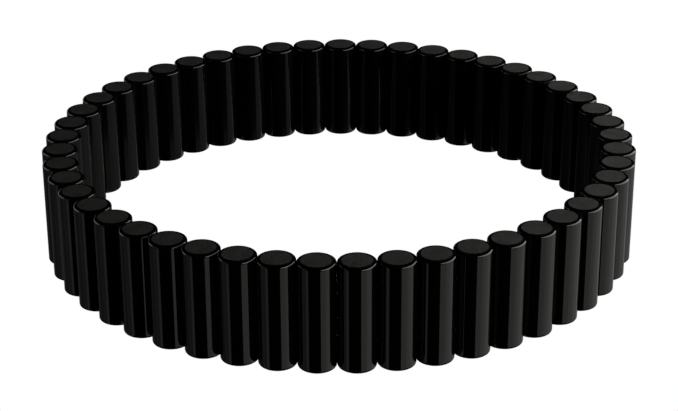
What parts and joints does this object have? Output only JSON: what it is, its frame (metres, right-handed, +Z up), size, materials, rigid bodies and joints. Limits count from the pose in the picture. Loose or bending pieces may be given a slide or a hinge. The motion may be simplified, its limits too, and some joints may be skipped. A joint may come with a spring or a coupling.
{
  "type": "stretch bracelet",
  "caption": "Stretch bracelet of upright polished black rods strung side by side on hidden elastic cords; the closed ring widens to pass over a hand.",
  "frame": {"origin": "centre of the ring, on the plane that the rods' lower ends stand on", "axes": "+Z up along the ring's axis and the rods' length; +Y towards the rod that hides the cords' knots, which is at the back; -Y to the front"},
  "size_m": [0.0664, 0.0663, 0.0117],
  "materials": {
    "rod": "polished",
    "cord": "matte"
  },
  "bodies": {
    "held_rod": {"rod_01": "rod", "elastic_cord_upper": "cord", "elastic_cord_lower": "cord"},
    "rod_25": {"rod_25": "rod"},
    "rod_02": {"rod_02": "rod"},
    "rod_03": {"rod_03": "rod"},
    "rod_04": {"rod_04": "rod"},
    "rod_05": {"rod_05": "rod"},
    "rod_06": {"rod_06": "rod"},
    "rod_07": {"rod_07": "rod"},
    "rod_08": {"rod_08": "rod"},
    "rod_09": {"rod_09": "rod"},
    "rod_10": {"rod_10": "rod"},
    "rod_11": {"rod_11": "rod"},
    "rod_12": {"rod_12": "rod"},
    "rod_13": {"rod_13": "rod"},
    "rod_14": {"rod_14": "rod"},
    "rod_15": {"rod_15": "rod"},
    "rod_16": {"rod_16": "rod"},
    "rod_17": {"rod_17": "rod"},
    "rod_18": {"rod_18": "rod"},
    "rod_19": {"rod_19": "rod"},
    "rod_20": {"rod_20": "rod"},
    "rod_21": {"rod_21": "rod"},
    "rod_22": {"rod_22": "rod"},
    "rod_23": {"rod_23": "rod"},
    "rod_24": {"rod_24": "rod"},
    "rod_26": {"rod_26": "rod"},
    "rod_27": {"rod_27": "rod"},
    "rod_28": {"rod_28": "rod"},
    "rod_29": {"rod_29": "rod"},
    "rod_30": {"rod_30": "rod"},
    "rod_31": {"rod_31": "rod"},
    "rod_32": {"rod_32": "rod"},
    "rod_33": {"rod_33": "rod"},
    "rod_34": {"rod_34": "rod"},
    "rod_35": {"rod_35": "rod"},
    "rod_36": {"rod_36": "rod"},
    "rod_37": {"rod_37": "rod"},
    "rod_38": {"rod_38": "rod"},
    "rod_39": {"rod_39": "rod"},
    "rod_40": {"rod_40": "rod"},
    "rod_41": {"rod_41": "rod"},
    "rod_42": {"rod_42": "rod"},
    "rod_43": {"rod_43": "rod"},
    "rod_44": {"rod_44": "rod"},
    "rod_45": {"rod_45": "rod"},
    "rod_46": {"rod_46": "rod"},
    "rod_47": {"rod_47": "rod"},
    "rod_48": {"rod_48": "rod"},
    "rod_49": {"rod_49": "rod"}
  },
  "joints": [
    {"name": "stretch", "type": "slide", "parent": "held_rod", "child": "rod_25", "axis": [-0.0321, -0.9995, 0], "range_m": [0, 0.014], "stiffness_N_per_m": 4, "deforming": ["elastic_cord_upper", "elastic_cord_lower"]},
    {"name": "stretch_rod_02", "type": "slide", "parent": "held_rod", "child": "rod_02", "axis": [-0.9979, -0.0641, 0], "range_m": [0, 0.00089789], "stiffness_N_per_m": 4},
    {"name": "stretch_rod_03", "type": "slide", "parent": "held_rod", "child": "rod_03", "axis": [-0.9918, -0.1279, 0], "range_m": [0, 0.00179], "stiffness_N_per_m": 4},
    {"name": "stretch_rod_04", "type": "slide", "parent": "held_rod", "child": "rod_04", "axis": [-0.9816, -0.1912, 0], "range_m": [0, 0.00268], "stiffness_N_per_m": 4},
    {"name": "stretch_rod_05", "type": "slide", "parent": "held_rod", "child": "rod_05", "axis": [-0.9673, -0.2537, 0], "range_m": [0, 0.00355], "stiffness_N_per_m": 4},
    {"name": "stretch_rod_06", "type": "slide", "parent": "held_rod", "child": "rod_06", "axis": [-0.9491, -0.3151, 0], "range_m": [0, 0.00442], "stiffness_N_per_m": 4},
    {"name": "stretch_rod_07", "type": "slide", "parent": "held_rod", "child": "rod_07", "axis": [-0.9269, -0.3753, 0], "range_m": [0, 0.00526], "stiffness_N_per_m": 4},
    {"name": "stretch_rod_08", "type": "slide", "parent": "held_rod", "child": "rod_08", "axis": [-0.901, -0.4339, 0], "range_m": [0, 0.00608], "stiffness_N_per_m": 4},
    {"name": "stretch_rod_09", "type": "slide", "parent": "held_rod", "child": "rod_09", "axis": [-0.8713, -0.4907, 0], "range_m": [0, 0.00688], "stiffness_N_per_m": 4},
    {"name": "stretch_rod_10", "type": "slide", "parent": "held_rod", "child": "rod_10", "axis": [-0.8381, -0.5455, 0], "range_m": [0, 0.00765], "stiffness_N_per_m": 4},
    {"name": "stretch_rod_11", "type": "slide", "parent": "held_rod", "child": "rod_11", "axis": [-0.8014, -0.5981, 0], "range_m": [0, 0.00838], "stiffness_N_per_m": 4},
    {"name": "stretch_rod_12", "type": "slide", "parent": "held_rod", "child": "rod_12", "axis": [-0.7614, -0.6482, 0], "range_m": [0, 0.00908], "stiffness_N_per_m": 4},
    {"name": "stretch_rod_13", "type": "slide", "parent": "held_rod", "child": "rod_13", "axis": [-0.7183, -0.6957, 0], "range_m": [0, 0.00975], "stiffness_N_per_m": 4},
    {"name": "stretch_rod_14", "type": "slide", "parent": "held_rod", "child": "rod_14", "axis": [-0.6723, -0.7403, 0], "range_m": [0, 0.01037], "stiffness_N_per_m": 4},
    {"name": "stretch_rod_15", "type": "slide", "parent": "held_rod", "child": "rod_15", "axis": [-0.6235, -0.7818, 0], "range_m": [0, 0.01096], "stiffness_N_per_m": 4},
    {"name": "stretch_rod_16", "type": "slide", "parent": "held_rod", "child": "rod_16", "axis": [-0.5721, -0.8202, 0], "range_m": [0, 0.01149], "stiffness_N_per_m": 4},
    {"name": "stretch_rod_17", "type": "slide", "parent": "held_rod", "child": "rod_17", "axis": [-0.5184, -0.8551, 0], "range_m": [0, 0.01198], "stiffness_N_per_m": 4},
    {"name": "stretch_rod_18", "type": "slide", "parent": "held_rod", "child": "rod_18", "axis": [-0.4625, -0.8866, 0], "range_m": [0, 0.01242], "stiffness_N_per_m": 4},
    {"name": "stretch_rod_19", "type": "slide", "parent": "held_rod", "child": "rod_19", "axis": [-0.4048, -0.9144, 0], "range_m": [0, 0.01281], "stiffness_N_per_m": 4},
    {"name": "stretch_rod_20", "type": "slide", "parent": "held_rod", "child": "rod_20", "axis": [-0.3454, -0.9385, 0], "range_m": [0, 0.01315], "stiffness_N_per_m": 4},
    {"name": "stretch_rod_21", "type": "slide", "parent": "held_rod", "child": "rod_21", "axis": [-0.2845, -0.9587, 0], "range_m": [0, 0.01343], "stiffness_N_per_m": 4},
    {"name": "stretch_rod_22", "type": "slide", "parent": "held_rod", "child": "rod_22", "axis": [-0.2225, -0.9749, 0], "range_m": [0, 0.01366], "stiffness_N_per_m": 4},
    {"name": "stretch_rod_23", "type": "slide", "parent": "held_rod", "child": "rod_23", "axis": [-0.1596, -0.9872, 0], "range_m": [0, 0.01383], "stiffness_N_per_m": 4},
    {"name": "stretch_rod_24", "type": "slide", "parent": "held_rod", "child": "rod_24", "axis": [-0.096, -0.9954, 0], "range_m": [0, 0.01395], "stiffness_N_per_m": 4},
    {"name": "stretch_rod_26", "type": "slide", "parent": "held_rod", "child": "rod_26", "axis": [0.0321, -0.9995, 0], "range_m": [0, 0.01401], "stiffness_N_per_m": 4},
    {"name": "stretch_rod_27", "type": "slide", "parent": "held_rod", "child": "rod_27", "axis": [0.096, -0.9954, 0], "range_m": [0, 0.01395], "stiffness_N_per_m": 4},
    {"name": "stretch_rod_28", "type": "slide", "parent": "held_rod", "child": "rod_28", "axis": [0.1596, -0.9872, 0], "range_m": [0, 0.01383], "stiffness_N_per_m": 4},
    {"name": "stretch_rod_29", "type": "slide", "parent": "held_rod", "child": "rod_29", "axis": [0.2225, -0.9749, 0], "range_m": [0, 0.01366], "stiffness_N_per_m": 4},
    {"name": "stretch_rod_30", "type": "slide", "parent": "held_rod", "child": "rod_30", "axis": [0.2845, -0.9587, 0], "range_m": [0, 0.01343], "stiffness_N_per_m": 4},
    {"name": "stretch_rod_31", "type": "slide", "parent": "held_rod", "child": "rod_31", "axis": [0.3454, -0.9385, 0], "range_m": [0, 0.01315], "stiffness_N_per_m": 4},
    {"name": "stretch_rod_32", "type": "slide", "parent": "held_rod", "child": "rod_32", "axis": [0.4048, -0.9144, 0], "range_m": [0, 0.01281], "stiffness_N_per_m": 4},
    {"name": "stretch_rod_33", "type": "slide", "parent": "held_rod", "child": "rod_33", "axis": [0.4625, -0.8866, 0], "range_m": [0, 0.01242], "stiffness_N_per_m": 4},
    {"name": "stretch_rod_34", "type": "slide", "parent": "held_rod", "child": "rod_34", "axis": [0.5184, -0.8551, 0], "range_m": [0, 0.01198], "stiffness_N_per_m": 4},
    {"name": "stretch_rod_35", "type": "slide", "parent": "held_rod", "child": "rod_35", "axis": [0.5721, -0.8202, 0], "range_m": [0, 0.01149], "stiffness_N_per_m": 4},
    {"name": "stretch_rod_36", "type": "slide", "parent": "held_rod", "child": "rod_36", "axis": [0.6235, -0.7818, 0], "range_m": [0, 0.01096], "stiffness_N_per_m": 4},
    {"name": "stretch_rod_37", "type": "slide", "parent": "held_rod", "child": "rod_37", "axis": [0.6723, -0.7403, 0], "range_m": [0, 0.01037], "stiffness_N_per_m": 4},
    {"name": "stretch_rod_38", "type": "slide", "parent": "held_rod", "child": "rod_38", "axis": [0.7183, -0.6957, 0], "range_m": [0, 0.00975], "stiffness_N_per_m": 4},
    {"name": "stretch_rod_39", "type": "slide", "parent": "held_rod", "child": "rod_39", "axis": [0.7614, -0.6482, 0], "range_m": [0, 0.00908], "stiffness_N_per_m": 4},
    {"name": "stretch_rod_40", "type": "slide", "parent": "held_rod", "child": "rod_40", "axis": [0.8014, -0.5981, 0], "range_m": [0, 0.00838], "stiffness_N_per_m": 4},
    {"name": "stretch_rod_41", "type": "slide", "parent": "held_rod", "child": "rod_41", "axis": [0.8381, -0.5455, 0], "range_m": [0, 0.00765], "stiffness_N_per_m": 4},
    {"name": "stretch_rod_42", "type": "slide", "parent": "held_rod", "child": "rod_42", "axis": [0.8713, -0.4907, 0], "range_m": [0, 0.00688], "stiffness_N_per_m": 4},
    {"name": "stretch_rod_43", "type": "slide", "parent": "held_rod", "child": "rod_43", "axis": [0.901, -0.4339, 0], "range_m": [0, 0.00608], "stiffness_N_per_m": 4},
    {"name": "stretch_rod_44", "type": "slide", "parent": "held_rod", "child": "rod_44", "axis": [0.9269, -0.3753, 0], "range_m": [0, 0.00526], "stiffness_N_per_m": 4},
    {"name": "stretch_rod_45", "type": "slide", "parent": "held_rod", "child": "rod_45", "axis": [0.9491, -0.3151, 0], "range_m": [0, 0.00442], "stiffness_N_per_m": 4},
    {"name": "stretch_rod_46", "type": "slide", "parent": "held_rod", "child": "rod_46", "axis": [0.9673, -0.2537, 0], "range_m": [0, 0.00355], "stiffness_N_per_m": 4},
    {"name": "stretch_rod_47", "type": "slide", "parent": "held_rod", "child": "rod_47", "axis": [0.9816, -0.1912, 0], "range_m": [0, 0.00268], "stiffness_N_per_m": 4},
    {"name": "stretch_rod_48", "type": "slide", "parent": "held_rod", "child": "rod_48", "axis": [0.9918, -0.1279, 0], "range_m": [0, 0.00179], "stiffness_N_per_m": 4},
    {"name": "stretch_rod_49", "type": "slide", "parent": "held_rod", "child": "rod_49", "axis": [0.9979, -0.0641, 0], "range_m": [0, 0.00089789], "stiffness_N_per_m": 4}
  ],
  "couplings": [
    {"joint": "stretch_rod_02", "follows": "stretch", "ratio": 0.064103},
    {"joint": "stretch_rod_03", "follows": "stretch", "ratio": 0.12794},
    {"joint": "stretch_rod_04", "follows": "stretch", "ratio": 0.19126},
    {"joint": "stretch_rod_05", "follows": "stretch", "ratio": 0.25378},
    {"joint": "stretch_rod_06", "follows": "stretch", "ratio": 0.31527},
    {"joint": "stretch_rod_07", "follows": "stretch", "ratio": 0.37546},
    {"joint": "stretch_rod_08", "follows": "stretch", "ratio": 0.43411},
    {"joint": "stretch_rod_09", "follows": "stretch", "ratio": 0.49097},
    {"joint": "stretch_rod_10", "follows": "stretch", "ratio": 0.54582},
    {"joint": "stretch_rod_11", "follows": "stretch", "ratio": 0.59842},
    {"joint": "stretch_rod_12", "follows": "stretch", "ratio": 0.64856},
    {"joint": "stretch_rod_13", "follows": "stretch", "ratio": 0.69604},
    {"joint": "stretch_rod_14", "follows": "stretch", "ratio": 0.74066},
    {"joint": "stretch_rod_15", "follows": "stretch", "ratio": 0.78223},
    {"joint": "stretch_rod_16", "follows": "stretch", "ratio": 0.82059},
    {"joint": "stretch_rod_17", "follows": "stretch", "ratio": 0.85558},
    {"joint": "stretch_rod_18", "follows": "stretch", "ratio": 0.88706},
    {"joint": "stretch_rod_19", "follows": "stretch", "ratio": 0.91488},
    {"joint": "stretch_rod_20", "follows": "stretch", "ratio": 0.93895},
    {"joint": "stretch_rod_21", "follows": "stretch", "ratio": 0.95916},
    {"joint": "stretch_rod_22", "follows": "stretch", "ratio": 0.97543},
    {"joint": "stretch_rod_23", "follows": "stretch", "ratio": 0.98769},
    {"joint": "stretch_rod_24", "follows": "stretch", "ratio": 0.99589},
    {"joint": "stretch_rod_26", "follows": "stretch", "ratio": 1},
    {"joint": "stretch_rod_27", "follows": "stretch", "ratio": 0.99589},
    {"joint": "stretch_rod_28", "follows": "stretch", "ratio": 0.98769},
    {"joint": "stretch_rod_29", "follows": "stretch", "ratio": 0.97543},
    {"joint": "stretch_rod_30", "follows": "stretch", "ratio": 0.95916},
    {"joint": "stretch_rod_31", "follows": "stretch", "ratio": 0.93895},
    {"joint": "stretch_rod_32", "follows": "stretch", "ratio": 0.91488},
    {"joint": "stretch_rod_33", "follows": "stretch", "ratio": 0.88706},
    {"joint": "stretch_rod_34", "follows": "stretch", "ratio": 0.85558},
    {"joint": "stretch_rod_35", "follows": "stretch", "ratio": 0.82059},
    {"joint": "stretch_rod_36", "follows": "stretch", "ratio": 0.78223},
    {"joint": "stretch_rod_37", "follows": "stretch", "ratio": 0.74066},
    {"joint": "stretch_rod_38", "follows": "stretch", "ratio": 0.69604},
    {"joint": "stretch_rod_39", "follows": "stretch", "ratio": 0.64856},
    {"joint": "stretch_rod_40", "follows": "stretch", "ratio": 0.59842},
    {"joint": "stretch_rod_41", "follows": "stretch", "ratio": 0.54582},
    {"joint": "stretch_rod_42", "follows": "stretch", "ratio": 0.49097},
    {"joint": "stretch_rod_43", "follows": "stretch", "ratio": 0.43411},
    {"joint": "stretch_rod_44", "follows": "stretch", "ratio": 0.37546},
    {"joint": "stretch_rod_45", "follows": "stretch", "ratio": 0.31527},
    {"joint": "stretch_rod_46", "follows": "stretch", "ratio": 0.25378},
    {"joint": "stretch_rod_47", "follows": "stretch", "ratio": 0.19126},
    {"joint": "stretch_rod_48", "follows": "stretch", "ratio": 0.12794},
    {"joint": "stretch_rod_49", "follows": "stretch", "ratio": 0.064103}
  ]
}
